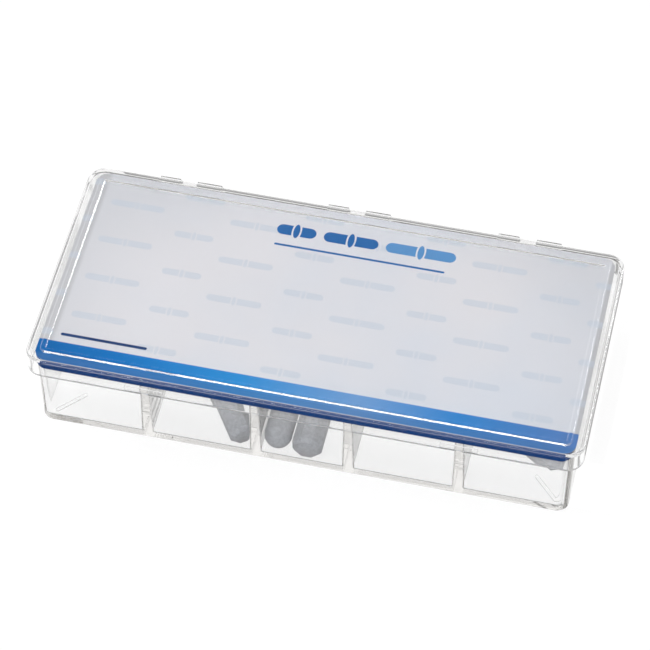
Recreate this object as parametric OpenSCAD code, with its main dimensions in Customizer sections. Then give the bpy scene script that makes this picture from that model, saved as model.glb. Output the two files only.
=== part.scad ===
// Hinged case with five compartments, holding a set of magnetic stirring bars.
// Frame: +X along the case, +Y to the hinges at the back, +Z up, z = 0 under the feet,
// origin under the middle of the closed case with its hinges.

/* [Case base] */
// Length of the base at its rim, outside
base_l = 171.8; // [150:0.1:200]
// Depth of the base at its rim, front to back, outside
base_d = 78.8; // [70:0.2:90]
// Height of the base rim above the table
rim_z = 31.1; // [26:0.1:31.3]
// Radius of the base's upright corners
base_corner_r = 4; // [2:0.5:5]
// Rounding along the base's bottom edges
base_edge_r = 0.6; // [0.4:0.1:1.6]
// How much each outer wall leans in from the rim to the floor
base_lean = 0.3; // [0.1:0.1:0.6]
// Thickness of the outer walls where they meet the floor
wall_t = 1.8; // [1.2:0.1:2.4]
// Thickness of the floor
floor_t = 1.9; // [1:0.1:2.4]
// How much each compartment wall leans out from the floor to the rim
draft = 0.6; // [0.1:0.1:0.6]

/* [Compartments] */
// Distance from the middle of the case to the two inner dividers
inner_divider_x = 15; // [12:0.1:20]
// Distance from the middle of the case to the two outer dividers
outer_divider_x = 50.4; // [46:0.1:56]
// Thickness of a divider where it meets the floor
divider_t = 3; // [2.4:0.1:4]
// Height of the dividers above the table
divider_z = 30.2; // [20:0.1:30.7]
// Upright corner radius inside a compartment
cell_corner_r = 0.6; // [0.5:0.1:3]
// Rounding where a compartment's walls meet its floor
cell_floor_r = 0.5; // [0.4:0.1:2]

/* [Feet] */
// Height of the diagonal foot ribs
foot_h = 0.5; // [0.3:0.1:1]
// Width of a foot rib
foot_w = 1.2; // [0.8:0.1:2]
// Length of a foot rib
foot_l = 11.5; // [6:0.5:16]
// Each rib's outer end, in from the base's end wall and from its front or back wall
foot_inset = [4.3, 4.6]; // [2:0.1:6]

/* [Lid] */
// Length of the lid, outside
lid_l = 178; // [160:0.5:206]
// Depth of the lid, front to back, outside
lid_d = 83; // [76:0.5:96]
// Height of the lid's flat top above the table
lid_z = 33.2; // [33:0.1:35]
// Height of the lid's lower edge above the table
skirt_z = 25.5; // [20:0.1:26.8]
// Thickness of the lid's top and skirt
lid_t = 1.4; // [1:0.1:1.6]
// Radius of the lid's upright corners
lid_corner_r = 5.5; // [4:0.5:8]
// Rounding along the lid's top edges
lid_edge_r = 0.6; // [0.4:0.1:1.3]
// Length of the stacking ridge's outline on the lid's top
ridge_l = 169.6; // [150:0.2:172]
// Depth of the stacking ridge's outline
ridge_d = 75.2; // [60:0.2:78]
// Width of the ridge
ridge_w = 2; // [1:0.1:3]
// Height of the ridge
ridge_h = 0.5; // [0.3:0.1:1]
// Length of each catch tab inside the front skirt
catch_l = 12; // [6:0.5:16]
// How far a catch tab stands in from the skirt
catch_t = 0.4; // [0.2:0.05:0.5]
// Height of a catch tab
catch_h = 2; // [1:0.1:2.1]

/* [Hinges] */
// Distance from the middle hinge to each outer one
hinge_pitch = 56.5; // [40:0.5:65]
// Distance from the case's centre line back to the hinge axis
hinge_y = 43.9; // [43.7:0.1:45]
// Height of the hinge axis above the table
hinge_z = 26.4; // [26:0.1:26.8]
// Radius of the hinge barrels
barrel_r = 2.1; // [1.8:0.05:2.1]
// Radius of the pins moulded on the lid's ears
pin_r = 0.9; // [0.7:0.05:1]
// Radial play between pin and bore
pin_play = 0.06; // [0.02:0.01:0.1]
// Length of each pin, from the ear's inner face
pin_l = 2.2; // [1.5:0.1:2.4]
// Width of the base's knuckle
knuckle_w = 5.2; // [4:0.1:6]
// Side gap between the knuckle and each ear
knuckle_gap = 0.25; // [0.1:0.05:0.5]
// Width of the ear on the left of each knuckle
left_ear_w = 6.8; // [4:0.1:9]
// Width of the ear on the right of each knuckle
right_ear_w = 8.2; // [4:0.1:9]
// Height of the ears' flat tops above the table
ear_top_z = 31.4; // [29:0.1:31.6]

/* [Label card] */
// Length of the card
card_l = 172.2; // [150:0.2:174.6]
// Depth of the card, front to back
card_d = 79.8; // [70:0.2:79.8]
// Thickness of the card
card_t = 0.25; // [0.2:0.05:0.4]
// Corner radius of the card
card_r = 4; // [3:0.5:6]
// Gap between the card and the lid's top
card_gap = 0.07; // [0.05:0.01:0.2]
// Height above the table of the lower edge of the card's folded front flap
flap_z = 29; // [28:0.1:30]

/* [Stirring bars] */
// Radial height of the pivot ring around the middle of an eight-sided bar
ring_h = 0.5; // [0.3:0.1:1]
// Width of the pivot ring's crest
ring_w = 1.8; // [1:0.1:3]
// Radial depth of the taper at a bar's ends
end_taper = 1.1; // [0.5:0.1:1.6]
// Length of the taper at a bar's ends
end_l = 1.3; // [0.5:0.1:2]
// Magnet diameter as a share of the bar's width
magnet_share = 0.5; // [0.3:0.05:0.6]
// Jacket thickness over each end of the magnet
magnet_cap = 3.2; // [2:0.1:4]
// Play between magnet and jacket
magnet_play = 0.03; // [0.02:0.01:0.1]

/* [Bar sizes] */
// Bar 1, across the flats and long
bar_01_size = [8, 38.1]; // [6:0.1:64]
// Bar 2, round with domed ends, diameter and length
bar_02_size = [9, 50.8]; // [6:0.1:64]
// Bar 3, across the flats and long
bar_03_size = [9.5, 63.5]; // [6:0.1:64]
// Bar 4, across the flats and long
bar_04_size = [9.5, 25.4]; // [6:0.1:64]
// Bar 5, across the flats and long
bar_05_size = [9.5, 50.8]; // [6:0.1:64]
// Bar 6, across the flats and long
bar_06_size = [8, 38.1]; // [6:0.1:64]
// Bar 7, across the flats and long
bar_07_size = [8, 25.4]; // [6:0.1:64]
// Bar 8, across the flats and long
bar_08_size = [8, 22.2]; // [6:0.1:64]
// Bar 9, across the flats and long
bar_09_size = [8, 15.9]; // [6:0.1:64]
// Bar 10, across the flats and long
bar_10_size = [8, 12.7]; // [6:0.1:64]
// Bar 11, across the flats and long
bar_11_size = [8, 31.8]; // [6:0.1:64]
// Bar 12, across the flats and long
bar_12_size = [8, 12.7]; // [6:0.1:64]

/* [Bar places] */
// Bar 1's near end across and along the case from its middle, then its turn in degrees
bar_01_place = [-19.2, -35.6, 34.5]; // [-90:0.1:180]
// Bar 2's near end and turn
bar_02_place = [-8.65, -37, 0]; // [-90:0.1:180]
// Bar 3's near end and turn
bar_03_place = [1.3, -36.9, -0.4]; // [-90:0.1:180]
// Bar 4's near end and turn
bar_04_place = [81.4, -23.2, 63]; // [-90:0.1:180]
// Bar 5's near end and turn
bar_05_place = [-76.4, -15.2, 1.5]; // [-90:0.1:180]
// Bar 6's near end and turn
bar_06_place = [-62.5, -9.5, -6]; // [-90:0.1:180]
// Bar 7's near end and turn
bar_07_place = [-24.5, 12.5, 42]; // [-90:0.1:180]
// Bar 8's near end and turn
bar_08_place = [24, -12.5, -8]; // [-90:0.1:180]
// Bar 9's near end and turn
bar_09_place = [41.5, -6, 24]; // [-90:0.1:180]
// Bar 10's near end and turn
bar_10_place = [31, 20.5, 65]; // [-90:0.1:180]
// Bar 11's near end and turn
bar_11_place = [60.5, 0.5, -14]; // [-90:0.1:180]
// Bar 12's near end and turn
bar_12_place = [79, 4.5, 12]; // [-90:0.1:180]

/* [Hidden] */
$fn = 48;
eps = 0.01;
cut = 1;

bar_sizes = [
    bar_01_size, bar_02_size, bar_03_size, bar_04_size, bar_05_size, bar_06_size,
    bar_07_size, bar_08_size, bar_09_size, bar_10_size, bar_11_size, bar_12_size
];
bar_places = [
    bar_01_place, bar_02_place, bar_03_place, bar_04_place, bar_05_place, bar_06_place,
    bar_07_place, bar_08_place, bar_09_place, bar_10_place, bar_11_place, bar_12_place
];
round_bar = 1; // index of the bar with domed ends
bar_numbers = ["01", "02", "03", "04", "05", "06", "07", "08", "09", "10", "11", "12"];
jacket_nodes = [for (n = bar_numbers) str("bar_", n, "_jacket")];
magnet_nodes = [for (n = bar_numbers) str("bar_", n, "_magnet")];

// The case's own centre line lies forward of the origin, because the hinges stick out behind
case_y = -(hinge_y + barrel_r - lid_d/2)/2;

floor_z = foot_h + floor_t;
rim_wall_t = wall_t + base_lean - draft;
hinge_xs = [-hinge_pitch, 0, hinge_pitch];
knuckle_top_z = skirt_z - 0.5;
knuckle_foot_z = 18.7;
ear_inner_x = knuckle_w/2 + knuckle_gap;
ear_flat_y = hinge_y - 0.4;
catch_xs = [-outer_divider_x, outer_divider_x];
divider_xs = [-outer_divider_x, -inner_divider_x, inner_divider_x, outer_divider_x];
floor_half = [base_l/2, base_d/2] - [1, 1]*(base_lean + wall_t);
cell_edges = concat(
    [-floor_half.x],
    [for (x = divider_xs) each [x - divider_t/2, x + divider_t/2]],
    [floor_half.x]
);

// Where the line from p touches the circle round c, turning to the given side (1 or -1)
function tangent_point(p, c, r, side) =
    let (
        d = norm(c - p),
        heading = atan2(c.y - p.y, c.x - p.x) + side*asin(r/d),
        reach = sqrt(d*d - r*r)
    )
    p + reach*[cos(heading), sin(heading)];

module in_frame() {
    translate([0, case_y, 0]) children();
}

module rounded_rect(l, d, r) {
    square([l, d - 2*r], center = true);
    square([l - 2*r, d], center = true);
    for (x = [-1, 1], y = [-1, 1])
        translate([x*(l/2 - r), y*(d/2 - r)]) circle(r);
}

module rounded_slab(l, d, h, r) {
    linear_extrude(h) rounded_rect(l, d, r);
}

// Section of a moulded tub: half-width foot_half at the floor, leaning out to top_half at height h,
// with its two lower corners rounded
module tub_section(foot_half, top_half, h, r) {
    lean = atan2(top_half - foot_half, h);
    centre = foot_half - r*(1 - sin(lean))/cos(lean);
    side = [centre + r*cos(lean), r - r*sin(lean)];
    polygon([
        [-centre, 0], [centre, 0], side, [top_half, h],
        [-top_half, h], [-side.x, side.y]
    ]);
    for (s = [-1, 1]) translate([s*centre, r]) circle(r);
}

// A tub-shaped block with its floor at z = 0: upright corners of radius corner_r, bottom edges of
// radius edge_r, and sides that lean out by lean_out over its height
module tub(l, d, h, corner_r, edge_r, lean_out = 0) {
    top_l = l + 2*lean_out;
    top_d = d + 2*lean_out;
    intersection() {
        rounded_slab(top_l, top_d, h, corner_r);
        rotate([90, 0, 0])
            linear_extrude(top_d + cut, center = true) tub_section(l/2, top_l/2, h, edge_r);
        rotate([90, 0, 90])
            linear_extrude(top_l + cut, center = true) tub_section(d/2, top_d/2, h, edge_r);
    }
}

// The room inside compartment i, open at the top
module compartment(i) {
    left = cell_edges[2*i];
    right = cell_edges[2*i + 1];
    translate([(left + right)/2, 0, floor_z])
        tub(right - left, 2*floor_half.y, rim_z - floor_z, cell_corner_r, cell_floor_r, draft);
}

// Open space above the dividers, inside the rim
module above_dividers() {
    translate([0, 0, divider_z])
        rounded_slab(base_l - 2*rim_wall_t, base_d - 2*rim_wall_t, rim_z - divider_z + cut,
            base_corner_r - rim_wall_t);
}

// A diagonal rib under one corner, from the corner towards the middle
module foot() {
    outer = [base_l, base_d]/2 - foot_inset;
    translate([outer.x, outer.y, 0]) rotate(225) linear_extrude(foot_h + eps) {
        translate([0, -foot_w/2]) square([foot_l, foot_w]);
        for (x = [0, foot_l]) translate([x, 0]) circle(foot_w/2);
    }
}

// Extrudes a section drawn in the upright y-z plane to width w along x
module along_x(x0, w) {
    translate([x0, 0, 0]) rotate([90, 0, 90]) linear_extrude(w) children();
}

// The base's middle part of a hinge: a bracket from the back wall round to the barrel
module knuckle_section() {
    axis = [hinge_y, hinge_z];
    foot = [base_d/2 - rim_wall_t/2, knuckle_foot_z];
    polygon([
        foot, [foot.x, knuckle_top_z], [hinge_y, knuckle_top_z],
        axis, tangent_point(foot, axis, barrel_r, -1)
    ]);
    translate(axis) circle(barrel_r);
}

module hinge_bore(x) {
    translate([x, hinge_y, hinge_z]) rotate([0, 90, 0])
        cylinder(h = knuckle_w + cut, r = pin_r + pin_play, center = true);
}

module case_base() {
    color("gainsboro", 0.4) in_frame() difference() {
        union() {
            translate([0, 0, foot_h])
                tub(base_l - 2*base_lean, base_d - 2*base_lean, rim_z - foot_h,
                    base_corner_r, base_edge_r, base_lean);
            for (mx = [0, 1], my = [0, 1]) mirror([mx, 0, 0]) mirror([0, my, 0]) foot();
            for (x = hinge_xs) along_x(x - knuckle_w/2, knuckle_w) knuckle_section();
        }
        for (i = [0 : len(cell_edges)/2 - 1]) compartment(i);
        above_dividers();
        for (x = hinge_xs) hinge_bore(x);
    }
}

module ear_section() {
    axis = [hinge_y, hinge_z];
    root_y = lid_d/2 - lid_t/2;
    crest = [ear_flat_y, ear_top_z];
    polygon([
        [root_y, skirt_z], [root_y, ear_top_z], crest,
        tangent_point(crest, axis, barrel_r, 1), axis
    ]);
    translate(axis) circle(barrel_r);
}

// Both ears of one hinge, each with its pin into the knuckle
module hinge_ears() {
    pin_root = 1;
    along_x(-ear_inner_x - left_ear_w, left_ear_w) ear_section();
    along_x(ear_inner_x, right_ear_w) ear_section();
    for (s = [-1, 1])
        translate([s*(ear_inner_x + (pin_root - pin_l)/2), hinge_y, hinge_z]) rotate([0, 90, 0])
            cylinder(h = pin_l + pin_root, r = pin_r, center = true);
}

module lid_shell() {
    difference() {
        translate([0, 0, lid_z]) mirror([0, 0, 1])
            tub(lid_l, lid_d, lid_z - skirt_z, lid_corner_r, lid_edge_r);
        translate([0, 0, skirt_z - cut])
            rounded_slab(lid_l - 2*lid_t, lid_d - 2*lid_t, lid_z - lid_t - skirt_z + cut,
                lid_corner_r - lid_t);
    }
}

module stacking_ridge() {
    translate([0, 0, lid_z - eps]) difference() {
        rounded_slab(ridge_l, ridge_d, ridge_h + eps, ridge_w + 0.1);
        translate([0, 0, -cut])
            rounded_slab(ridge_l - 2*ridge_w, ridge_d - 2*ridge_w, ridge_h + 2*cut, 0.4);
    }
}

module catch_tab() {
    inner_y = -(lid_d/2 - lid_t);
    translate([-catch_l/2, inner_y - lid_t/2, skirt_z])
        cube([catch_l, catch_t + lid_t/2, catch_h]);
}

module case_lid() {
    color("gainsboro", 0.4) in_frame() {
        lid_shell();
        stacking_ridge();
        for (x = hinge_xs) translate([x, 0, 0]) hinge_ears();
        for (x = catch_xs) translate([x, 0, 0]) catch_tab();
    }
}

// The printed card under the lid's top, with its front edge folded down inside the skirt
module label_card() {
    top_z = lid_z - lid_t - card_gap;
    flap_l = card_l - 2*card_r;
    color("lavender") in_frame() {
        translate([0, 0, top_z - card_t]) rounded_slab(card_l, card_d, card_t, card_r);
        translate([-flap_l/2, -card_d/2, flap_z]) cube([flap_l, card_t, top_z - flap_z]);
    }
}

// Radius to the corners of an eight-sided bar of the given width across its flats
function corner_radius(width) = width/2/cos(22.5);

// An eight-sided bar along z with tapered ends and a pivot ring, lying on a flat when it is laid down
module octagon_blank(width, length) {
    straight = length - 2*end_l;
    side_r = corner_radius(width);
    tip_r = corner_radius(width - 2*end_taper);
    rotate(22.5) {
        cylinder(h = straight, r = side_r, center = true, $fn = 8);
        for (s = [0, 1]) mirror([0, 0, s]) translate([0, 0, straight/2])
            cylinder(h = end_l, r1 = side_r, r2 = tip_r, $fn = 8);
    }
    pivot_ring(width);
}

module pivot_ring(width) {
    crest_r = width/2 + ring_h;
    root_r = width/2 - 0.3;
    cylinder(h = ring_w, r = crest_r, center = true);
    for (s = [0, 1]) mirror([0, 0, s]) translate([0, 0, ring_w/2])
        cylinder(h = crest_r - root_r, r1 = crest_r, r2 = root_r);
}

module domed_blank(width, length) {
    straight = length - width;
    cylinder(h = straight, r = width/2, center = true);
    for (s = [-1, 1]) translate([0, 0, s*straight/2]) sphere(width/2);
}

// Lays a bar that is drawn along z on the floor of its compartment. An eight-sided bar balances on
// its ring and leans down at the near end until the edge of the taper meets the floor.
module laid_bar(i) {
    width = bar_sizes[i][0];
    length = bar_sizes[i][1];
    domed = i == round_bar;
    rise = domed ? 0 : ring_h;
    dip = atan2(rise, length/2 - end_l - ring_w/2);
    axis_z = floor_z + eps + ring_w/2*sin(dip) + (width/2 + rise)*cos(dip);
    place = bar_places[i];
    in_frame() translate([place.x, place.y, axis_z]) rotate(place.z)
        translate([0, length/2*cos(dip), 0]) rotate([dip - 90, 0, 0]) children();
}

module bar_jacket(i) {
    width = bar_sizes[i][0];
    length = bar_sizes[i][1];
    color("gray") laid_bar(i) difference() {
        if (i == round_bar) domed_blank(width, length);
        else octagon_blank(width, length);
        cylinder(h = length - 2*magnet_cap + 2*magnet_play,
            r = magnet_share*width/2 + magnet_play, center = true);
    }
}

module bar_magnet(i) {
    width = bar_sizes[i][0];
    length = bar_sizes[i][1];
    color("dimgray") laid_bar(i)
        cylinder(h = length - 2*magnet_cap, r = magnet_share*width/2, center = true);
}

case_base();
case_lid();
label_card();
for (i = [0 : len(bar_numbers) - 1]) {
    bar_jacket(i);
    bar_magnet(i);
}
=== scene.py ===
import math

import bmesh
import bpy
from mathutils import Matrix, Vector


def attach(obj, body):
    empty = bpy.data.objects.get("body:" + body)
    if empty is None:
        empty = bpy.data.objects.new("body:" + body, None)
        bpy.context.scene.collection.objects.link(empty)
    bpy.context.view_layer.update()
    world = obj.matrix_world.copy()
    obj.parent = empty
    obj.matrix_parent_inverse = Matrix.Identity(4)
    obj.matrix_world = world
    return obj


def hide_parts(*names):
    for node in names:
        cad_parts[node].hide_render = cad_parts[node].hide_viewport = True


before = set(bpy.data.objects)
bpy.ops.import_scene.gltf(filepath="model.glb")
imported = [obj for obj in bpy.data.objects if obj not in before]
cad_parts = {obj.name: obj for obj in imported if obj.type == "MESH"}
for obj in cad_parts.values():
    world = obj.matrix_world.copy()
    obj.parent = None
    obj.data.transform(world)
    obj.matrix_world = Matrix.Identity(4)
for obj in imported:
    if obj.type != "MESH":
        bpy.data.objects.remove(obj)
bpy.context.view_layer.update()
print("frame loaded:", len(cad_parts), "solids")

mm = 0.001
caseY = -2.25  # the case's own middle, in front of the origin because the hinges stick out behind
nearly = 0.01  # how far from a height or a plane, in mm, still counts as on it
weldGap = 0.002  # corners this close together after a cut are made one


def block(bm, low, high):
    # a box between two corners
    made = bmesh.ops.create_cube(bm, size=1)["verts"]
    size = [h - l for l, h in zip(low, high)]
    middle = [(l + h)/2 for l, h in zip(low, high)]
    bmesh.ops.scale(bm, vec=size, verts=made)
    bmesh.ops.translate(bm, vec=middle, verts=made)


def edgesWhere(bm, test):
    return [e for e in bm.edges if test(e.verts[0].co, e.verts[1].co)]


def uprightEdges(bm):
    # edges that run mostly along z, a leaning wall's included
    return edgesWhere(bm, lambda a, b: abs(a.z - b.z) > 5*math.hypot(a.x - b.x, a.y - b.y))


def edgesAtHeight(bm, z):
    return edgesWhere(bm, lambda a, b: abs(a.z - z) < nearly and abs(b.z - z) < nearly)


def facesAtHeight(bm, z):
    return [f for f in bm.faces if all(abs(v.co.z - z) < nearly for v in f.verts)]


def roundOff(bm, edges, radius, segments):
    bmesh.ops.bevel(bm, geom=edges, offset=radius, offset_type="OFFSET", affect="EDGES",
                    segments=segments, profile=0.5, material=-1, clamp_overlap=True)


def pushOut(bm, faces, direction):
    # extrudes the faces and moves the new ones
    made = bmesh.ops.extrude_face_region(bm, geom=faces)["geom"]
    bmesh.ops.delete(bm, geom=faces, context="FACES_KEEP_BOUNDARY")
    moved = [v for v in made if isinstance(v, bmesh.types.BMVert)]
    bmesh.ops.translate(bm, vec=direction, verts=moved)
    return [f for f in made if isinstance(f, bmesh.types.BMFace)]


def rodAlongX(bm, start, end, y, z, radius, segments=32):
    turned = Matrix.Translation(((start + end)/2, y, z)) @ Matrix.Rotation(math.pi/2, 4, "Y")
    bmesh.ops.create_cone(bm, cap_ends=True, segments=segments, radius1=radius, radius2=radius,
                          depth=end - start, matrix=turned)


def plateAlongX(bm, start, end, section):
    # an upright section in the y-z plane, drawn out along x
    face = bm.faces.new([bm.verts.new((start, y, z)) for y, z in section])
    pushed = bmesh.ops.extrude_face_region(bm, geom=[face])["geom"]
    bmesh.ops.translate(bm, vec=(end - start, 0, 0),
                        verts=[v for v in pushed if isinstance(v, bmesh.types.BMVert)])
    bmesh.ops.recalc_face_normals(bm, faces=bm.faces)


def loose(bm, name):
    # an object of its own, still in millimetres round the case's middle
    mesh = bpy.data.meshes.new(name)
    bm.to_mesh(mesh)
    bm.free()
    made = bpy.data.objects.new(name, mesh)
    bpy.context.scene.collection.objects.link(made)
    return made


def combine(target, tools, operation):
    # joins the tools to the target, or cuts them out of it
    for tool in tools:
        step = target.modifiers.new("combine", "BOOLEAN")
        step.operation = operation
        step.solver = "EXACT"
        step.object = tool
    graph = bpy.context.evaluated_depsgraph_get()
    mesh = bpy.data.meshes.new_from_object(target.evaluated_get(graph))
    target.modifiers.clear()
    target.data = mesh
    for tool in tools:
        bpy.data.objects.remove(tool)


def dress(piece, body, material, replaced, smoothAngle=34):
    # takes a piece from millimetres round the case's middle to its place in the frame
    mesh = piece.data
    mesh.transform(Matrix.Scale(mm, 4) @ Matrix.Translation((0, caseY, 0)))
    mesh.shade_smooth()
    mesh.set_sharp_from_angle(angle=math.radians(smoothAngle))
    flat = piece.modifiers.new("even shading", "WEIGHTED_NORMAL")
    flat.keep_sharp = True
    mesh.materials.clear()
    mesh.materials.append(material)
    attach(piece, body)
    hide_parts(*replaced)
    return piece


class Wires:
    # short ways to add nodes to one material, or to the world
    def __init__(self, tree):
        self.nodes = tree.nodes
        self.links = tree.links
        self.coordinates = self.nodes.new("ShaderNodeTexCoord").outputs

    def put(self, socket, value):
        if isinstance(value, bpy.types.NodeSocket):
            self.links.new(value, socket)
        else:
            socket.default_value = value

    def fill(self, node, values):
        for name, value in values.items():
            self.put(node.inputs[name], value)

    def maths(self, operation, a, b=0.0):
        n = self.nodes.new("ShaderNodeMath")
        n.operation = operation
        self.put(n.inputs[0], a)
        self.put(n.inputs[1], b)
        return n.outputs[0]

    def largest(self, first, *others):
        for other in others:
            first = self.maths("MAXIMUM", first, other)
        return first

    def outside(self, value, low, high):
        # 1 below the lower limit and above the upper one
        off = self.maths("ABSOLUTE", self.maths("SUBTRACT", value, (low + high)/2))
        return self.maths("GREATER_THAN", off, (high - low)/2)

    def vector(self, operation, a, b=(0, 0, 0)):
        n = self.nodes.new("ShaderNodeVectorMath")
        n.operation = operation
        self.put(n.inputs[0], a)
        self.put(n.inputs[1], b)
        return n.outputs["Vector"]

    def tiled(self, place, size):
        # repeats what is drawn round the origin
        n = self.nodes.new("ShaderNodeVectorMath")
        n.operation = "WRAP"
        for socket, value in zip(n.inputs, (place, size, [-v for v in size])):
            self.put(socket, value)
        return n.outputs["Vector"]

    def length(self, a):
        n = self.nodes.new("ShaderNodeVectorMath")
        n.operation = "LENGTH"
        self.put(n.inputs[0], a)
        return n.outputs["Value"]

    def apart(self, a):
        n = self.nodes.new("ShaderNodeSeparateXYZ")
        self.put(n.inputs[0], a)
        return n.outputs

    def mapped(self, place=(0, 0, 0), scale=(1, 1, 1)):
        n = self.nodes.new("ShaderNodeMapping")
        self.fill(n, {"Vector": self.coordinates["Object"], "Location": place, "Scale": scale})
        return n.outputs[0]

    def noise(self, vector, scale, detail=2.0):
        n = self.nodes.new("ShaderNodeTexNoise")
        self.fill(n, {"Vector": vector, "Scale": scale, "Detail": detail, "Roughness": 0.5})
        return n.outputs["Fac"]

    def spread(self, value, fromLow, fromHigh, toLow=0.0, toHigh=1.0, smooth=False):
        n = self.nodes.new("ShaderNodeMapRange")
        n.interpolation_type = "SMOOTHSTEP" if smooth else "LINEAR"
        self.fill(n, {"Value": value, "From Min": fromLow, "From Max": fromHigh,
                      "To Min": toLow, "To Max": toHigh})
        return n.outputs["Result"]

    def blend(self, share, a, b):
        n = self.nodes.new("ShaderNodeMix")
        n.data_type = "RGBA"
        self.fill(n, {"Factor": share, "A": a, "B": b})
        return n.outputs["Result"]

    def bump(self, height, strength, distance):
        n = self.nodes.new("ShaderNodeBump")
        self.fill(n, {"Height": height, "Strength": strength, "Distance": distance})
        return n.outputs["Normal"]

    def shader(self, kind, values):
        n = self.nodes.new(kind)
        self.fill(n, values)
        return n.outputs[0]

    def mixShaders(self, share, a, b):
        n = self.nodes.new("ShaderNodeMixShader")
        for socket, value in zip(n.inputs, (share, a, b)):
            self.put(socket, value)
        return n.outputs[0]

    def surface(self, shader):
        output = next(n for n in self.nodes if n.type in ("OUTPUT_MATERIAL", "OUTPUT_WORLD"))
        self.links.new(shader, output.inputs["Surface"])


def newMaterial(name):
    made = bpy.data.materials.new(name)
    made.use_nodes = True
    return made, Wires(made.node_tree), made.node_tree.nodes["Principled BSDF"]


clearPlastic = {
    "tint": (0.992, 0.992, 0.992, 1), "lampTint": (0.97, 0.97, 0.965, 1), "ior": 1.58,
    "body": (0.66, 0.62, 0.56, 1), "depth": 4.0,  # colour and strength of the light lost in thick plastic
    "rough": (0.0, 0.035), "scuffScale": 60,  # the roughness runs between these, in soft spots
    "waveScale": 28, "waveHeight": 0.002, "waviness": 0.006,  # the slow waves of the moulding
}


def makeClear(name):
    made, w, shader = newMaterial(name)
    scuffs = w.noise(w.mapped(), clearPlastic["scuffScale"], detail=4)
    waves = w.noise(w.mapped(scale=(1, 1.6, 1)), clearPlastic["waveScale"], detail=1)
    w.fill(shader, {
        "Base Color": clearPlastic["tint"], "Transmission Weight": 1.0, "IOR": clearPlastic["ior"],
        "Roughness": w.spread(scuffs, 0.5, 0.8, *clearPlastic["rough"]),
        "Normal": w.bump(waves, clearPlastic["waviness"], clearPlastic["waveHeight"]),
    })
    # lamps pass straight through, so what lies in the case is lit
    lampRay = w.nodes.new("ShaderNodeLightPath").outputs["Is Shadow Ray"]
    through = w.shader("ShaderNodeBsdfTransparent", {"Color": clearPlastic["lampTint"]})
    w.surface(w.mixShaders(lampRay, shader.outputs[0], through))
    body = w.shader("ShaderNodeVolumeAbsorption",
                    {"Color": clearPlastic["body"], "Density": clearPlastic["depth"]})
    w.links.new(body, w.nodes["Material Output"].inputs["Volume"])
    return made


clearBase = makeClear("clearBase")
clearLid = makeClear("clearLid")
print("clear plastic ready")


# lengths are in millimetres, here and in the dictionaries of the other pieces
base = {
    "length": 171.8, "depth": 78.8, "rimHeight": 31.1, "underside": 0.5, "floor": 2.4,
    "cornerRadius": 4, "bottomRadius": 0.6, "lean": 0.3, "wall": 1.8, "draft": 0.6,
    "dividers": (-50.4, -15, 15, 50.4), "dividerWidth": 3, "dividerTop": 30.2,
    "cellCorner": 0.6, "cellFloorRadius": 0.5, "rimRounding": 0.3,
    "footLength": 11.5, "footWidth": 1.2, "footInset": (4.3, 4.6), "footRounding": 0.15,
    "cutAbove": 1,  # the cutters reach this far above the rim
}
hinge = {
    "places": (-56.5, 0, 56.5), "y": 43.9, "z": 26.4, "barrel": 2.1, "pin": 0.9, "play": 0.06,
    "pinLength": 2.2, "knuckleWidth": 5.2, "gap": 0.25, "leftEar": 6.8, "rightEar": 8.2,
    "earTop": 31.4, "earFlatY": 43.5, "knuckleTop": 25.0, "knuckleFoot": 18.7,
    "webInset": 0.02,  # keeps the web's ends inside the barrel's
    "boreOver": 0.5,
}
rimWall = base["wall"] + base["lean"] - base["draft"]  # what is left of the outer walls at the rim


def compartmentCutter(left, right):
    bm = bmesh.new()
    deep = base["depth"]/2 - base["lean"] - base["wall"]
    low, high = base["floor"], base["rimHeight"] + base["cutAbove"]
    block(bm, (left, -deep, low), (right, deep, high))
    lean = base["draft"]*(high - low)/(base["rimHeight"] - low)
    middle = (left + right)/2
    top = [v for v in bm.verts if v.co.z > low + nearly]
    bmesh.ops.scale(bm, vec=(1 + 2*lean/(right - left), 1 + lean/deep, 1), verts=top,
                    space=Matrix.Translation((-middle, 0, 0)))
    roundOff(bm, uprightEdges(bm), base["cellCorner"], 4)
    roundOff(bm, edgesAtHeight(bm, low), base["cellFloorRadius"], 4)
    return loose(bm, "compartmentCutter")


def dividerTopCutter():
    bm = bmesh.new()
    half = (base["length"]/2 - rimWall, base["depth"]/2 - rimWall)
    block(bm, (-half[0], -half[1], base["dividerTop"]),
          (half[0], half[1], base["rimHeight"] + base["cutAbove"]))
    roundOff(bm, uprightEdges(bm), base["cornerRadius"] - rimWall, 6)
    return loose(bm, "dividerTopCutter")


def footRib(xSide, ySide):
    bm = bmesh.new()
    width, intoFloor = base["footWidth"], 0.2
    block(bm, (0, -width/2, 0), (base["footLength"], width/2, base["underside"] + intoFloor))
    roundOff(bm, uprightEdges(bm), width*0.45, 4)
    roundOff(bm, edgesAtHeight(bm, 0), base["footRounding"], 2)
    x = xSide*(base["length"]/2 - base["footInset"][0])
    y = ySide*(base["depth"]/2 - base["footInset"][1])
    heading = math.atan2(-ySide, -xSide)
    bmesh.ops.transform(bm, matrix=Matrix.Translation((x, y, 0)) @ Matrix.Rotation(heading, 4, "Z"),
                        verts=bm.verts)
    return loose(bm, "footRib")


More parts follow.
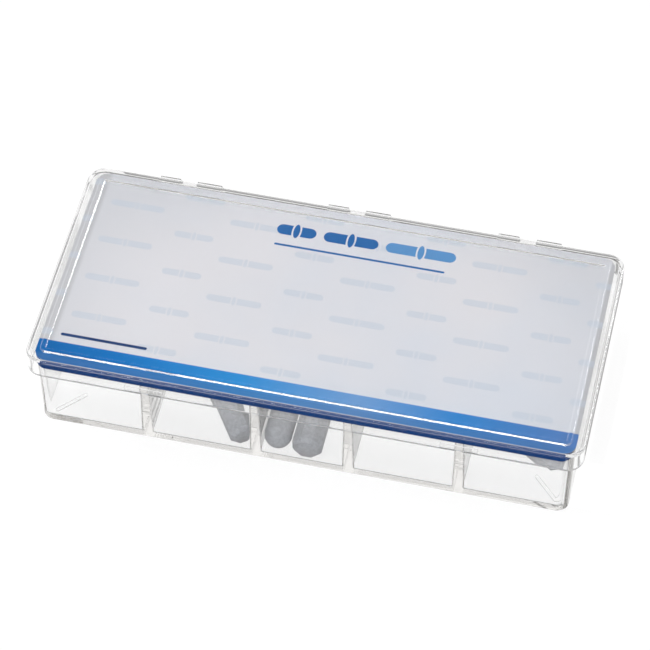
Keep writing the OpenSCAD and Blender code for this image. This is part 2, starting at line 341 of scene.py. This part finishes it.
def makeKnuckle(x):
    # a bored barrel on a web that runs down the back wall
    half = hinge["knuckleWidth"]/2
    axis = (hinge["y"], hinge["z"])
    barrel = bmesh.new()
    rodAlongX(barrel, x - half, x + half, *axis, hinge["barrel"])
    knuckle = loose(barrel, "knuckle")
    root = base["depth"]/2 - rimWall/2
    foot = (root, hinge["knuckleFoot"])
    web = bmesh.new()
    webHalf = half - hinge["webInset"]
    plateAlongX(web, x - webHalf, x + webHalf, [
        foot, (root, hinge["knuckleTop"]), (hinge["y"], hinge["knuckleTop"]), axis,
        tangentPoint(foot, axis, hinge["barrel"], -1),
    ])
    combine(knuckle, [loose(web, "web")], "UNION")
    bore = bmesh.new()
    boreHalf = half + hinge["boreOver"]
    rodAlongX(bore, x - boreHalf, x + boreHalf, *axis, hinge["pin"] + hinge["play"], 24)
    combine(knuckle, [loose(bore, "bore")], "DIFFERENCE")
    return knuckle


def tangentPoint(point, centre, radius, side):
    # where a line from the point touches the circle
    dy, dz = centre[0] - point[0], centre[1] - point[1]
    far = math.hypot(dy, dz)
    heading = math.atan2(dz, dy) + side*math.asin(radius/far)
    reach = math.sqrt(far*far - radius*radius)
    return point[0] + reach*math.cos(heading), point[1] + reach*math.sin(heading)


def makeBase():
    bm = bmesh.new()
    half = (base["length"]/2, base["depth"]/2)
    block(bm, (-half[0], -half[1], base["underside"]), (half[0], half[1], base["rimHeight"]))
    shrink = [1 - base["lean"]/h for h in half]
    low = [v for v in bm.verts if v.co.z < base["rimHeight"] - nearly]
    bmesh.ops.scale(bm, vec=(*shrink, 1), verts=low)
    roundOff(bm, uprightEdges(bm), base["cornerRadius"], 8)
    roundOff(bm, edgesAtHeight(bm, base["underside"]), base["bottomRadius"], 4)
    shell = loose(bm, "case_base_clear")
    feet = [footRib(xSide, ySide) for xSide in (-1, 1) for ySide in (-1, 1)]
    knuckles = [makeKnuckle(x) for x in hinge["places"]]
    combine(shell, [*feet, *knuckles], "UNION")
    edge = half[0] - base["lean"] - base["wall"]
    lefts = [-edge, *[x + base["dividerWidth"]/2 for x in base["dividers"]]]
    rights = [*[x - base["dividerWidth"]/2 for x in base["dividers"]], edge]
    cells = [compartmentCutter(left, right) for left, right in zip(lefts, rights)]
    combine(shell, [*cells, dividerTopCutter()], "DIFFERENCE")
    bm = bmesh.new()
    bm.from_mesh(shell.data)
    bmesh.ops.remove_doubles(bm, verts=bm.verts, dist=weldGap)
    roundOff(bm, edgesAtHeight(bm, base["rimHeight"]), base["rimRounding"], 2)
    bm.to_mesh(shell.data)
    bm.free()
    return dress(shell, "base", clearBase, ["case_base"])


makeBase()
print("base done")


lid = {
    "length": 178, "depth": 83, "top": 33.2, "skirt": 25.5, "wall": 1.4, "cornerRadius": 5.5,
    "topRadius": 0.8, "lowerRounding": 0.3, "insideRounding": 0.4, "frontFillet": 0.95,
    "ridgeLength": 169.6, "ridgeDepth": 75.2, "ridgeWidth": 2.0, "ridgeHeight": 0.5,
    "ridgeCorner": 2.1, "ridgeInner": 0.4, "ridgeSlope": 0.36, "ridgeRounding": 0.4,
    "catches": (-50.4, 50.4), "catchLength": 12, "catchDepth": 0.4, "catchHeight": 2,
    "catchRounding": 0.15, "pinRoot": 1,
}


def roundedLoop(bm, halfX, halfY, radius, z, perCorner=6):
    # points round a rectangle with rounded corners
    points = []
    for quarter, (sx, sy) in enumerate(((1, 1), (-1, 1), (-1, -1), (1, -1))):
        for k in range(perCorner + 1):
            turn = math.pi/2*(quarter + k/perCorner)
            points.append(bm.verts.new((sx*(halfX - radius) + radius*math.cos(turn),
                                        sy*(halfY - radius) + radius*math.sin(turn), z)))
    return points


def stackingRidge():
    bm = bmesh.new()
    width, slope, soft = lid["ridgeWidth"], lid["ridgeSlope"], lid["ridgeRounding"]
    top = lid["top"] + lid["ridgeHeight"]
    # the slope runs into the flat top over a rounded crest that ends at the ridge's height
    steep, steps, intoLid = math.pi/4, 4, 0.3
    turns = [steep*(1 - k/steps) for k in range(steps + 1)]
    crest = [(slope + soft*(math.sin(steep) - math.sin(a)), top - soft*(1 - math.cos(a)))
             for a in turns]
    foot = crest[0][1] - slope
    side = [(0, lid["top"] - intoLid), (0, foot)] + crest
    section = side + [(width - inset, z) for inset, z in reversed(side)]
    loops = []
    for inset, z in section:
        radius = lid["ridgeCorner"] - (lid["ridgeCorner"] - lid["ridgeInner"])*inset/width
        loops.append(roundedLoop(bm, lid["ridgeLength"]/2 - inset, lid["ridgeDepth"]/2 - inset, radius, z))
    for k in range(len(loops)):
        below, above = loops[k - 1], loops[k]
        for i in range(len(below)):
            bm.faces.new((below[i - 1], below[i], above[i], above[i - 1]))
    return loose(bm, "stackingRidge")


def earParts(x):
    # the two ears of one hinge and the pins that face each other between them
    inner = hinge["knuckleWidth"]/2 + hinge["gap"]
    root = lid["depth"]/2 - lid["wall"]/2
    crest = (hinge["earFlatY"], hinge["earTop"])
    axis = (hinge["y"], hinge["z"])
    section = [(root, lid["skirt"]), (root, hinge["earTop"]), crest,
               tangentPoint(crest, axis, hinge["barrel"], 1), axis]
    parts = []
    ears = ((x - inner - hinge["leftEar"], x - inner), (x + inner, x + inner + hinge["rightEar"]))
    for start, end in ears:
        web = bmesh.new()
        plateAlongX(web, start, end, section)
        barrel = bmesh.new()
        rodAlongX(barrel, start, end, *axis, hinge["barrel"])
        parts += [loose(web, "earWeb"), loose(barrel, "earBarrel")]
    for side in (-1, 1):
        near, far = x + side*(inner - hinge["pinLength"]), x + side*(inner + lid["pinRoot"])
        pin = bmesh.new()
        rodAlongX(pin, min(near, far), max(near, far), *axis, hinge["pin"])
        parts.append(loose(pin, "pin"))
    return parts


def catchTab(x):
    bm = bmesh.new()
    innerY = -(lid["depth"]/2 - lid["wall"])
    block(bm, (x - lid["catchLength"]/2, innerY - lid["wall"]/2, lid["skirt"]),
          (x + lid["catchLength"]/2, innerY + lid["catchDepth"], lid["skirt"] + lid["catchHeight"]))
    roundOff(bm, edgesWhere(bm, lambda a, b: a.y > innerY and b.y > innerY), lid["catchRounding"], 2)
    return loose(bm, "catchTab")


def frontFillet():
    # rounds the corner between the top plate and the front skirt, inside
    bm = bmesh.new()
    radius, over = lid["frontFillet"], 0.2
    y, z = lid["wall"] - lid["depth"]/2, lid["top"] - lid["wall"]
    arc = [math.radians(90 + 90*k/8) for k in range(9)]
    section = [(y + radius + radius*math.cos(a), z - radius + radius*math.sin(a)) for a in arc]
    half = lid["length"]/2 - lid["cornerRadius"]
    corner = [(y - over, z - radius), (y - over, z + over), (y + radius, z + over)]
    plateAlongX(bm, -half, half, section + corner)
    return loose(bm, "frontFillet")


def makeLid():
    bm = bmesh.new()
    half = (lid["length"]/2, lid["depth"]/2)
    block(bm, (-half[0], -half[1], lid["skirt"]), (half[0], half[1], lid["top"]))
    roundOff(bm, uprightEdges(bm), lid["cornerRadius"], 10)
    roundOff(bm, edgesAtHeight(bm, lid["top"]), lid["topRadius"], 5)
    under = facesAtHeight(bm, lid["skirt"])
    bmesh.ops.inset_region(bm, faces=under, thickness=lid["wall"], use_even_offset=True)
    ceiling = pushOut(bm, under, (0, 0, lid["top"] - lid["wall"] - lid["skirt"]))
    roundOff(bm, list({e for f in ceiling for e in f.edges}), lid["insideRounding"], 2)
    roundOff(bm, edgesAtHeight(bm, lid["skirt"]), lid["lowerRounding"], 2)
    shell = loose(bm, "case_lid_clear")
    ears = [part for x in hinge["places"] for part in earParts(x)]
    tabs = [catchTab(x) for x in lid["catches"]]
    combine(shell, [frontFillet(), stackingRidge(), *tabs, *ears], "UNION")
    return dress(shell, "lid", clearLid, ["case_lid"])


makeLid()
print("lid done")


card = {
    "length": 172.2, "depth": 79.8, "thickness": 0.25, "cornerRadius": 4, "top": 31.73,
    "edgeRounding": 0.12, "foldRadius": 0.58,
    "rough": 0.55, "fibreScale": 1400, "fibreBump": (0.15, 0.00005),
    # the flap runs this many eighths round each front corner, and its foot rises there to leave
    # the height of flapEnd; its top stays a little below the card's
    "flapBend": 5, "flapEnd": 0.2, "flapFoot": 29.0, "flapBelow": 0.16,
    "field": (0.82, 0.81, 0.845, 1), "fieldCool": (0.75, 0.78, 0.85, 1), "cloudScale": 14,
    # the field turns greyer with the way from its centre, which counts 1.4 times across the card
    "fieldEdge": (0.68, 0.69, 0.73, 1), "fieldCentre": (4, -12, 0), "fieldStretch": (1, 1.4, 1),
    "edgeFrom": 55, "edgeTo": 110, "edgeShare": 0.7,
    # the next colour is painted shade: a soft line just inside the left ridge stands for the ridge's
    # shadow, and the strip past the right ridge is shaded with it
    "paintedShade": (0.56, 0.56, 0.58, 1), "rightFrom": 84.6, "rightShadeShare": 0.85,
    "leftFrom": -82.6, "leftWidth": 1.8, "leftShadowShare": 0.7,
    "flap": (0.002, 0.045, 0.2, 1), "flapShade": 31.4,
    "bandFrom": -31.75, "frontShadeFrom": -36.5, "frontShadeTo": -38, "frontShadeShare": 0.6,
    # the band's blues along the card, from its left end to its right
    "blues": ((0.0, (0.003, 0.15, 0.47, 1)), (0.15, (0.006, 0.2, 0.59, 1)),
              (0.38, (0.03, 0.31, 0.73, 1)), (0.6, (0.19, 0.39, 0.72, 1)),
              (0.78, (0.04, 0.27, 0.68, 1)), (1.0, (0.11, 0.24, 0.55, 1))),
    # the next colour is painted reflection and shade: the band greys and darkens towards it in front of
    # the ridge, under the lid's front edge
    "bandFrontShade": (0.075, 0.2, 0.46, 1),
    "ink": (0.03, 0.16, 0.45, 1), "inkPale": (0.13, 0.34, 0.66, 1), "navy": (0.02, 0.06, 0.2, 1),
    "faint": (0.62, 0.68, 0.77, 1), "faintShare": 0.55, "back": (0.8, 0.8, 0.79, 1),
    "signRing": 0.5, "signGap": 0.75, "signStretch": (1, 0.36, 1),
    # signs and rules: the middle, then half the length and half the width
    "tile": (20, 8, 1), "tileSigns": (((-9, 3.6), (6.5, 1.3)), ((10, -3.8), (9, 1.3))),
    "heading": (((-17, 29), (6.5, 2.1), "ink"), ((1, 29), (9, 2.1), "ink"),
                ((24, 29), (11.5, 2.1), "inkPale")),
    "rules": (((5, 22.5), (28, 0.4), "ink"), ((-66, -28.6), (14, 0.55), "navy")),
}


def bentFlap():
    # hangs from the front edge and runs out round the corners, where its foot rises
    bm = bmesh.new()
    radius, top = card["cornerRadius"], card["top"] - card["flapBelow"]
    half = (card["length"]/2 - radius, card["depth"]/2 - radius)
    stations = []
    for side in (-1, 1):
        arc = []
        for k in range(card["flapBend"] + 1):
            turn = math.radians(side*k*90/8 - 90)
            rise = (k/card["flapBend"])**2*(top - card["flapEnd"] - card["flapFoot"])
            outer, inner = [(side*half[0] + r*math.cos(turn), r*math.sin(turn) - half[1])
                            for r in (radius, radius - card["thickness"])]
            foot = card["flapFoot"] + rise
            corners = ((*outer, top), (*outer, foot), (*inner, foot), (*inner, top))
            arc.append([bm.verts.new(corner) for corner in corners])
        stations += arc if side > 0 else reversed(arc)
    for a, b in zip(stations, stations[1:]):
        for k in range(4):
            bm.faces.new((a[k - 1], a[k], b[k], b[k - 1]))
    bm.faces.new(stations[0])
    bm.faces.new(stations[-1])
    bmesh.ops.recalc_face_normals(bm, faces=bm.faces)
    return loose(bm, "flap")


def makeCard(material):
    bm = bmesh.new()
    half = (card["length"]/2, card["depth"]/2)
    low = card["top"] - card["thickness"]
    block(bm, (-half[0], -half[1], low), (half[0], half[1], card["top"]))
    roundOff(bm, uprightEdges(bm), card["cornerRadius"], 8)
    front = edgesWhere(bm, lambda a, b: max(a.y, b.y) < nearly - half[1])
    others = [e for e in edgesAtHeight(bm, card["top"]) if e not in front]
    roundOff(bm, others, card["edgeRounding"], 2)
    sheet = loose(bm, "label_card_print")
    combine(sheet, [bentFlap()], "UNION")
    bm = bmesh.new()
    bm.from_mesh(sheet.data)
    bmesh.ops.remove_doubles(bm, verts=bm.verts, dist=weldGap)
    fold = [e for e in edgesAtHeight(bm, card["top"])
            if max(v.co.y for v in e.verts) < nearly - half[1]]
    roundOff(bm, fold, card["foldRadius"], 4)
    bm.to_mesh(sheet.data)
    bm.free()
    return dress(sheet, "lid", material, ["label_card"])


def printedBar(w, place, centre, half, soft=0.06):
    # 1 inside a bar with round ends, lying along x; all in millimetres
    away = w.vector("ABSOLUTE", w.vector("SUBTRACT", place, (*centre, 0)))
    beyond = w.vector("MAXIMUM", w.vector("SUBTRACT", away, (half[0] - half[1], 0, 0)), (0, 0, 0))
    return w.spread(w.length(beyond), half[1] - soft, half[1] + soft, 1, 0)


def stirrerSign(w, place, centre, half):
    # a stirring bar seen from the side, with its ring round the middle between two thin gaps; the
    # ring is a circle drawn out across the bar
    tall = w.vector("MULTIPLY", w.vector("SUBTRACT", place, (*centre, 0)), card["signStretch"])
    ring, gap = [printedBar(w, tall, (0, 0), (half[1]*share, half[1]*share))
                 for share in (card["signRing"], card["signGap"])]
    bar = w.maths("MINIMUM", printedBar(w, place, centre, half), w.maths("SUBTRACT", 1.0, gap))
    return w.maths("MAXIMUM", bar, ring)


def stepUp(w, value, where, soft):
    # 0 below a height or a place and 1 past it; both in millimetres
    return w.spread(value, where*mm, (where + soft)*mm)


def makeCardPrint():
    made, w, shader = newMaterial("printedCard")
    place = w.vector("MULTIPLY", w.mapped(place=(0, -caseY*mm, 0)), (1/mm, 1/mm, 0))
    x, y, z = w.apart(w.coordinates["Object"])
    cloud = w.noise(w.mapped(), card["cloudScale"], detail=3)
    colour = w.blend(w.spread(cloud, 0.35, 0.7, smooth=True), card["field"], card["fieldCool"])
    # greyer towards the edges, along the left ridge and past the right one
    away = w.vector("SUBTRACT", place, card["fieldCentre"])
    far = w.length(w.vector("MULTIPLY", away, card["fieldStretch"]))
    edge = w.spread(far, card["edgeFrom"], card["edgeTo"], 0, card["edgeShare"], smooth=True)
    colour = w.blend(edge, colour, card["fieldEdge"])
    # greyer towards the edges; just inside the left ridge a soft painted shadow of the ridge, and past the
    # right ridge painted shade on the strip of card
    leftEnd = card["leftFrom"] + card["leftWidth"]
    # painted shadow of the left ridge on the card
    left = w.spread(x, card["leftFrom"]*mm, leftEnd*mm, card["leftShadowShare"], 0, smooth=True)
    colour = w.blend(left, colour, card["paintedShade"])
    # painted shade on the strip of card past the right ridge
    right = w.maths("MULTIPLY", stepUp(w, x, card["rightFrom"], 0.3), card["rightShadeShare"])
    colour = w.blend(right, colour, card["paintedShade"])
    # pale signs in staggered rows over the field
    tile = w.tiled(place, card["tile"])
    for centre, half in card["tileSigns"]:
        sign = w.maths("MULTIPLY", stirrerSign(w, tile, centre, half), card["faintShare"])
        colour = w.blend(sign, colour, card["faint"])
    # the heading, three bars of growing length, and the rules
    for centre, half, ink in card["heading"]:
        colour = w.blend(stirrerSign(w, place, centre, half), colour, card[ink])
    for centre, half, ink in card["rules"]:
        colour = w.blend(printedBar(w, place, centre, half), colour, card[ink])
    # the blue band, greyer at its front edge in front of the ridge, which is painted reflection and shade
    # of the lid's front edge, and the dark flap
    ramp = w.nodes.new("ShaderNodeValToRGB")
    halfLength = card["length"]/2*mm
    w.put(ramp.inputs[0], w.spread(x, -halfLength, halfLength))
    while len(ramp.color_ramp.elements) < len(card["blues"]):
        ramp.color_ramp.elements.new(0.5)
    for stop, (where, blue) in zip(ramp.color_ramp.elements, card["blues"]):
        stop.position, stop.color = where, blue
    # painted reflection and shade over the band's front strip
    frontShadeFrom, frontShadeTo = caseY + card["frontShadeFrom"], caseY + card["frontShadeTo"]
    front = w.spread(y, frontShadeFrom*mm, frontShadeTo*mm, 0, card["frontShadeShare"])
    blues = w.blend(front, ramp.outputs[0], card["bandFrontShade"])
    onField = stepUp(w, y, card["bandFrom"] + caseY - 0.1, 0.2)
    colour = w.blend(onField, blues, colour)
    onTop = stepUp(w, z, card["flapShade"], 0.05)
    colour = w.blend(onTop, card["flap"], colour)
    # the underside is plain board, and so is the flap's inner face between the corners
    low = card["top"] - 0.8*card["thickness"]
    inside = caseY - card["depth"]/2 + card["thickness"]/2
    straight = (card["length"]/2 - card["cornerRadius"])*mm
    innerFace = w.maths("MINIMUM", stepUp(w, y, inside, 0.03),
                        w.maths("LESS_THAN", w.maths("ABSOLUTE", x), straight))
    onBack = w.maths("MINIMUM", w.spread(z, (low - 0.03)*mm, low*mm, 1, 0),
                     w.maths("MAXIMUM", innerFace, onTop))
    fibre = w.noise(w.mapped(scale=(1, 1.6, 1)), card["fibreScale"], detail=3)
    w.fill(shader, {
        "Base Color": w.blend(onBack, colour, card["back"]),
        "Roughness": card["rough"], "Specular IOR Level": 0.1,
        "Normal": w.bump(fibre, *card["fibreBump"]),
    })
    return made


makeCard(makeCardPrint())
print("card done")


bars = {
    # the width and length of each, and where its near end lies with its turn in degrees
    "sizes": ((8, 38.1), (9, 50.8), (9.5, 63.5), (9.5, 25.4), (9.5, 50.8), (8, 38.1),
              (8, 25.4), (8, 22.2), (8, 15.9), (8, 12.7), (8, 31.8), (8, 12.7)),
    "places": ((-19.2, -35.6, 34.5), (-8.65, -37, 0), (1.3, -36.9, -0.4), (81.4, -23.2, 63),
               (-76.4, -15.2, 1.5), (-62.5, -9.5, -6), (-24.5, 12.5, 42), (24, -12.5, -8),
               (41.5, -6, 24), (31, 20.5, 65), (60.5, 0.5, -14), (79, 4.5, 12)),
    "round": 1,  # which one is round with domed ends, counted from 0
    "ringHeight": 0.5, "ringWidth": 1.8, "taper": 1.1, "taperLength": 1.3,
    "edgeRounding": 0.12, "magnetShare": 0.5, "magnetCap": 3.2, "play": 0.03, "floorGap": 0.01,
    "ringSunk": 0.3,  # how deep the ring's sloped sides run into the bar
}


def barPlace(i):
    # lays a bar that is drawn along z on its compartment's floor, leaning down at the near end
    width, length = bars["sizes"][i]
    rise = 0 if i == bars["round"] else bars["ringHeight"]
    dip = math.atan2(rise, length/2 - bars["taperLength"] - bars["ringWidth"]/2)
    height = (base["floor"] + bars["floorGap"] + bars["ringWidth"]/2*math.sin(dip)
              + (width/2 + rise)*math.cos(dip))
    x, y, turn = bars["places"][i]
    return (Matrix.Translation((x, y, height)) @ Matrix.Rotation(math.radians(turn), 4, "Z")
            @ Matrix.Translation((0, length/2*math.cos(dip), 0))
            @ Matrix.Rotation(dip - math.pi/2, 4, "X"))


def rod(bm, length, radius, segments, turn=0.0):
    bmesh.ops.create_cone(bm, cap_ends=True, segments=segments, radius1=radius, radius2=radius,
                          depth=length, matrix=Matrix.Rotation(turn, 4, "Z"))


def eightSided(width, length):
    bm = bmesh.new()
    toCorner = 1/math.cos(math.pi/8)
    straight = length - 2*bars["taperLength"]
    rod(bm, straight, width/2*toCorner, 8, math.pi/8)
    shrink = 1 - 2*bars["taper"]/width
    for side in (-1, 1):
        cap = facesAtHeight(bm, side*straight/2)
        moved = pushOut(bm, cap, (0, 0, side*bars["taperLength"]))
        bmesh.ops.scale(bm, vec=(shrink, shrink, 1), verts=list({v for f in moved for v in f.verts}))
    roundOff(bm, list(bm.edges), bars["edgeRounding"], 3)
    body = loose(bm, "eightSided")
    ring = bmesh.new()
    crest, root = width/2 + bars["ringHeight"], width/2 - bars["ringSunk"]
    half = bars["ringWidth"]/2
    foot, inner = half + crest - root, root - 1  # closed well inside the bar
    profile = [(inner, foot), (root, foot), (crest, half),
               (crest, -half), (root, -foot), (inner, -foot)]
    points = [ring.verts.new((r, 0, h)) for r, h in profile]
    wire = [ring.edges.new((points[k], points[k - 1])) for k in range(len(points))]
    bmesh.ops.spin(ring, geom=points + wire, cent=(0, 0, 0), axis=(0, 0, 1), angle=2*math.pi,
                   steps=64, use_merge=True)
    bmesh.ops.recalc_face_normals(ring, faces=ring.faces)
    combine(body, [loose(ring, "pivotRing")], "UNION")
    return body


def domed(width, length):
    bm = bmesh.new()
    bmesh.ops.create_uvsphere(bm, u_segments=48, v_segments=24, radius=width/2)
    for side in (-1, 1):
        half = [v for v in bm.verts if v.co.z*side > nearly]
        bmesh.ops.translate(bm, vec=(0, 0, side*(length - width)/2), verts=half)
    return loose(bm, "domed")


def makeBar(i, material):
    width, length = bars["sizes"][i]
    body = domed(width, length) if i == bars["round"] else eightSided(width, length)
    bore = bmesh.new()
    rod(bore, length - 2*bars["magnetCap"] + 2*bars["play"],
        bars["magnetShare"]*width/2 + bars["play"], 32)
    combine(body, [loose(bore, "magnetRoom")], "DIFFERENCE")
    body.data.transform(barPlace(i))
    body.name = f"bar_{i + 1:02d}_coat"
    return dress(body, "base", material, [f"bar_{i + 1:02d}_jacket"], smoothAngle=30)


coating = {
    "colour": (0.36, 0.365, 0.395, 1), "speckShade": 0.8, "speckScale": 900,
    # the low colour is painted shade, where less light reaches the bars' low, downward-facing ends
    "low": (0.24, 0.23, 0.24, 1), "lowShadeShare": 0.8, "lowShadeFrom": 3.5, "lowShadeTo": 7.5,
    "rough": (0.5, 0.62), "roughScale": 200, "specular": 0.3,
}
magnetMetal = {
    "colours": ((0.2, 0.2, 0.21, 1), (0.34, 0.34, 0.35, 1)), "rough": 0.45,
    "grainScale": 1500, "grainBump": (0.3, 0.0002),
}


def makeCoating():
    made, w, shader = newMaterial("barCoating")
    speck = w.noise(w.mapped(), coating["speckScale"], detail=3)
    shade = (*[coating["speckShade"]*c for c in coating["colour"][:3]], 1)
    colour = w.blend(w.spread(speck, 0.4, 0.6), coating["colour"], shade)
    # darker down by the compartments' floors: painted shade on the bars' low ends
    height = w.apart(w.coordinates["Object"])[2]
    low = w.spread(height, coating["lowShadeFrom"]*mm, coating["lowShadeTo"]*mm,
                   coating["lowShadeShare"], 0, smooth=True)
    scuffs = w.noise(w.mapped(), coating["roughScale"])
    w.fill(shader, {
        "Base Color": w.blend(low, colour, coating["low"]),
        "Roughness": w.spread(scuffs, 0.3, 0.7, *coating["rough"]),
        "Specular IOR Level": coating["specular"],
    })
    return made


def makeMagnetMetal():
    made, w, shader = newMaterial("castMagnet")
    grain = w.noise(w.mapped(), magnetMetal["grainScale"], detail=4)
    w.fill(shader, {
        "Base Color": w.blend(grain, *magnetMetal["colours"]), "Metallic": 1.0,
        "Roughness": magnetMetal["rough"], "Normal": w.bump(grain, *magnetMetal["grainBump"]),
    })
    return made


barCoating = makeCoating()
castMagnet = makeMagnetMetal()
for i in range(len(bars["sizes"])):
    makeBar(i, barCoating)
    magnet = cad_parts[f"bar_{i + 1:02d}_magnet"]
    magnet.data.materials.clear()
    magnet.data.materials.append(castMagnet)
print("bars done")


# the floor's strips and the lamps are placed in metres, the camera in millimetres
studio = {
    "floorPaper": (0.85, 0.85, 0.85, 1), "floorShade": 0.14, "floorGlow": 0.88,
    "floorHalf": 3, "floorDrop": 0.0002,
    # how bright the floor looks in gloss and glass, from in front of the case to behind it: a dark
    # strip lies before it, a thin one under its front, one behind it and another beside its right end
    "floorAlong": (-0.08, 0.08),
    # the dimmer band just before the case, the thin dark strip under its front, the strip behind it and
    # the one beside its right end are painted contact shadow of the case
    "levels": ((-0.0705, 1.0), (-0.0695, 0.0), (-0.066, 0.0), (-0.065, 0.7), (-0.0622, 0.7),
               (-0.06, 1.0), (-0.055, 1.0), (-0.049, 0.7), (-0.0412, 0.75), (-0.0408, 0.15),
               (-0.0384, 0.15), (-0.038, 1.05), (0.054, 1.05), (0.057, 0.36), (0.0645, 0.36),
               (0.066, 1.0)),
    "behindFrom": 0.0, "behindEnds": (-0.086, 0.083),
    "beside": (0.0885, 0.094), "besideFrom": -0.02, "besideShadowLevel": 0.35,
    "skyLight": 0.88,
    # two limits of a heading's height, then the brightness below and above them
    "ceiling": (0.2, 0.6, 1.0, 0.08), "ceilingEnd": 0.25,
    # light that has met more faces of the plastic than this finds the floor or the sky bright
    "floorDepth": 5.5, "skyDepth": 6.5, "skyGuided": 0.85, "lightBounces": 64,
    "camera": (137.59, -616.18, 808.12), "aim": (-1.1, -2.25, 23.62), "lens": 174.35,
}


def seenRays(w):
    # 1 for rays that show the surroundings, 0 for those that light what they meet
    path = w.nodes.new("ShaderNodeLightPath").outputs
    share = w.largest(path["Is Camera Ray"], path["Is Glossy Ray"], path["Is Transmission Ray"])
    unlit = w.maths("LESS_THAN", path["Diffuse Depth"], 0.5)
    return path, w.maths("MULTIPLY", share, unlit)


def floorLevels(w, y):
    # the floor's brightness from front to back
    start, end = studio["floorAlong"]
    ramp = w.nodes.new("ShaderNodeFloatCurve")
    w.put(ramp.inputs["Value"], w.spread(y, start, end))
    curve = ramp.mapping.curves[0]
    ramp.mapping.clip_max_y = 2
    stops = [(start, studio["levels"][0][1]), *studio["levels"], (end, studio["levels"][-1][1])]
    while len(curve.points) < len(stops):
        curve.points.new(0.5, 0.5)
    for point, (where, bright) in zip(curve.points, stops):
        point.location = ((where - start)/(end - start), bright)
        point.handle_type = "VECTOR"
    ramp.mapping.update()
    return ramp.outputs[0]


def makeFloor():
    bm = bmesh.new()
    bmesh.ops.create_grid(bm, x_segments=1, y_segments=1, size=studio["floorHalf"])
    bmesh.ops.translate(bm, vec=(0, 0, -studio["floorDrop"]), verts=bm.verts)
    floor = loose(bm, "floor")
    made, w, paper = newMaterial("floorPaper")
    w.fill(paper, {"Base Color": studio["floorPaper"], "Roughness": 0.9})
    path, seen = seenRays(w)
    x, y = w.apart(w.coordinates["Object"])[:2]
    # painted contact shadow: the strips behind the case and beside its right end
    behind = w.maths("GREATER_THAN", y, studio["behindFrom"])
    pastEnds = w.maths("MULTIPLY", w.outside(x, *studio["behindEnds"]), behind)
    along = w.largest(floorLevels(w, y), pastEnds)
    ahead = w.maths("LESS_THAN", y, studio["besideFrom"])
    clear = w.largest(w.outside(x, *studio["beside"]), ahead)
    level = w.maths("MULTIPLY", along, w.spread(clear, 0.0, 1.0, studio["besideShadowLevel"], 1.0))
    guided = w.maths("GREATER_THAN", path["Ray Depth"], studio["floorDepth"])
    level = w.largest(level, guided, path["Is Camera Ray"])
    # what is looked at, or seen in gloss and glass, is a white sheet that still takes a faint shadow
    shade = w.maths("MULTIPLY", level, studio["floorShade"])
    glow = w.maths("MULTIPLY", level, studio["floorGlow"])
    both = w.nodes.new("ShaderNodeAddShader")
    w.put(both.inputs[0], w.shader("ShaderNodeBsdfDiffuse", {"Color": shade}))
    w.put(both.inputs[1], w.shader("ShaderNodeEmission", {"Strength": glow}))
    w.surface(w.mixShaders(seen, paper.outputs[0], both.outputs[0]))
    floor.data.materials.append(made)


def makeSky():
    # white behind and round the case; in gloss and glass a dim ceiling hangs over it, which leaves
    # the right free for the slopes of the right ridge
    world = bpy.data.worlds.new("studio")
    bpy.context.scene.world = world
    world.use_nodes = True
    w = Wires(world.node_tree)
    white = (1, 1, 1, 1)
    light = w.nodes["Background"]
    w.fill(light, {"Color": white, "Strength": studio["skyLight"]})
    heading = w.apart(w.coordinates["Generated"])
    path, seen = seenRays(w)
    ceiling = w.spread(heading["Z"], *studio["ceiling"], smooth=True)
    guided = w.maths("GREATER_THAN", path["Ray Depth"], studio["skyDepth"])
    guided = w.maths("MULTIPLY", guided, studio["skyGuided"])
    right = w.maths("GREATER_THAN", heading["X"], studio["ceilingEnd"])
    level = w.largest(ceiling, path["Is Camera Ray"], guided, right)
    sky = w.shader("ShaderNodeBackground", {"Color": white, "Strength": level})
    w.surface(w.mixShaders(seen, light.outputs[0], sky))


lamps = {
    "softFront": {"place": (-0.1, -1.0, 0.9), "size": (0.9, 0.5), "power": 1.8},
    "softLeft": {"place": (-0.9, 0.1, 1.0), "size": (0.6, 0.6), "power": 3},
    # lights what lies under the card
    "throughCard": {"place": (0, caseY*mm, 0.0313), "aim": (0, caseY*mm, 0),
                    "size": (0.165, 0.074), "power": 0.035, "hidden": True},
    # long thin lamps that the ridge's slopes and crest mirror
    "ridgeFront": {"place": (-0.15, -1.026, 0.759), "size": (0.9, 0.13), "power": 4.4,
                   "colour": (0.88, 0.95, 1), "glossOnly": True},
    "ridgeSide": {"place": (0.93, 0.72, 0.26), "size": (0.35, 0.14), "power": 1.9,
                  "glossOnly": True},
}


def makeLamp(name, place, size, power, aim=(0, 0, 0), colour=(1, 1, 1),
             glossOnly=False, hidden=False):
    data = bpy.data.lights.new(name, "AREA")
    data.shape = "RECTANGLE"
    data.size, data.size_y = size
    data.energy = power
    data.color = colour
    lamp = bpy.data.objects.new(name, data)
    lamp.location = place
    lamp.rotation_euler = (Vector(aim) - Vector(place)).to_track_quat("-Z", "Y").to_euler()
    lamp.visible_transmission = False
    lamp.visible_diffuse = not glossOnly
    lamp.visible_glossy = not hidden
    bpy.context.scene.collection.objects.link(lamp)


def makeCamera():
    data = bpy.data.cameras.new("camera")
    data.sensor_width = 36
    data.lens = studio["lens"]
    data.clip_start, data.clip_end = 0.01, 20
    camera = bpy.data.objects.new("camera", data)
    place, aim = Vector(studio["camera"])*mm, Vector(studio["aim"])*mm
    camera.location = place
    camera.rotation_euler = (aim - place).to_track_quat("-Z", "Y").to_euler()
    bpy.context.scene.collection.objects.link(camera)
    bpy.context.scene.camera = camera


makeFloor()
makeSky()
for name, values in lamps.items():
    makeLamp(name, **values)
makeCamera()
bpy.context.scene.view_settings.view_transform = "Standard"
cycles = bpy.context.scene.cycles
cycles.max_bounces = studio["lightBounces"]
cycles.transmission_bounces = studio["lightBounces"]
cycles.glossy_bounces = studio["lightBounces"]
print("studio done")
